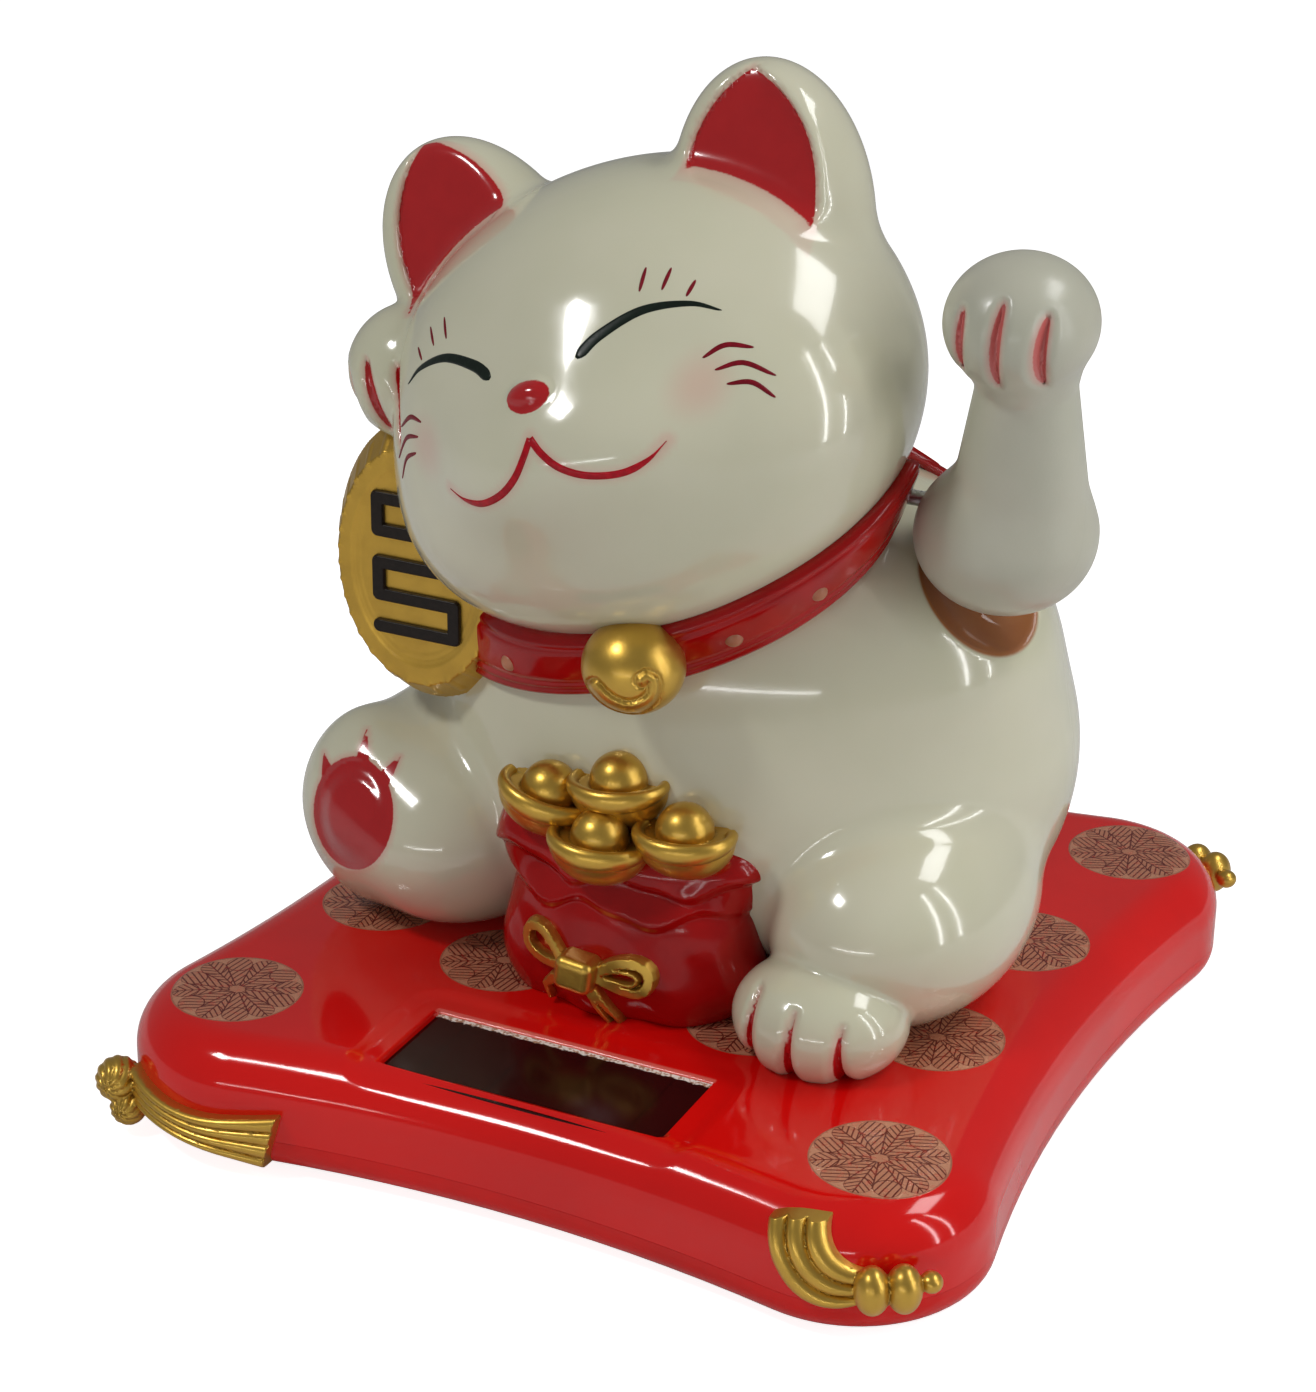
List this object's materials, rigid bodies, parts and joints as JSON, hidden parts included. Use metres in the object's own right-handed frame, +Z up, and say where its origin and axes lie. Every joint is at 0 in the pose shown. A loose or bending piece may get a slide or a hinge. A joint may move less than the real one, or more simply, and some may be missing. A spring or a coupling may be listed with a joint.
{
  "type": "beckoning cat figurine",
  "caption": "Solar-powered beckoning cat seated on a cushion base, with one arm that swings on a hidden axle driven by a pendulum magnet over a coil.",
  "frame": {"origin": "centre of the base outline, on the surface the feet rest on", "axes": "+Z up, the cat faces -Y, +X towards its waving arm; the arm axle runs along X"},
  "size_m": [0.1192, 0.1298, 0.1361],
  "materials": {
    "white_plastic": "glossy ivory white",
    "arm_plastic": "satin white",
    "red_plastic": "glossy red",
    "crimson_paint": "glossy crimson",
    "gold_paint": "satin metallic gold paint on plastic",
    "stud_paint": "pale gold paint",
    "emblem_paint": "black paint",
    "cell_glass": "near-black maroon film under clear resin",
    "board": "green laminate",
    "black_plastic": "matte black",
    "capacitor_sleeve": "blue sleeve",
    "natural_plastic": "unpainted moulding",
    "copper_wire": "enamelled copper",
    "wire_insulation": "red and black insulation",
    "steel": "zinc plated",
    "magnet_plating": "nickel plated",
    "foot_rubber": "matte"
  },
  "bodies": {
    "cat": {"base_top_shell": "red_plastic", "base_bottom_cover": "red_plastic", "rubber_feet": "foot_rubber", "base_cover_screws": "steel", "body_screws": "steel", "solar_cell": "cell_glass", "circuit_board": "board", "driver_chip": "black_plastic", "storage_capacitor": "capacitor_sleeve", "coil_bobbin": "natural_plastic", "coil_winding": "copper_wire", "solar_cell_leads": "wire_insulation", "coil_leads": "wire_insulation", "body_front_shell": "white_plastic", "body_rear_shell": "white_plastic", "pivot_bracket": "natural_plastic", "bracket_screws": "steel", "collar": "crimson_paint", "collar_studs": "stud_paint", "bell": "gold_paint", "gold_coin": "gold_paint", "coin_emblem": "emblem_paint", "money_bag": "crimson_paint", "gold_ingots": "gold_paint", "bag_bow": "gold_paint", "tassel_front_left": "gold_paint", "tassel_front_right": "gold_paint", "tassel_back_left": "gold_paint", "tassel_back_right": "gold_paint"},
    "waving_arm": {"arm_front_shell": "arm_plastic", "arm_rear_shell": "arm_plastic", "axle": "steel", "axle_clip": "steel", "pendulum_lever": "natural_plastic", "magnet": "magnet_plating"}
  },
  "joints": [
    {"name": "arm_swing", "type": "hinge", "parent": "cat", "child": "waving_arm", "pos_m": [0.042, 0, 0.0835], "axis": [1, 0, 0], "range_deg": [-15, 15]}
  ]
}
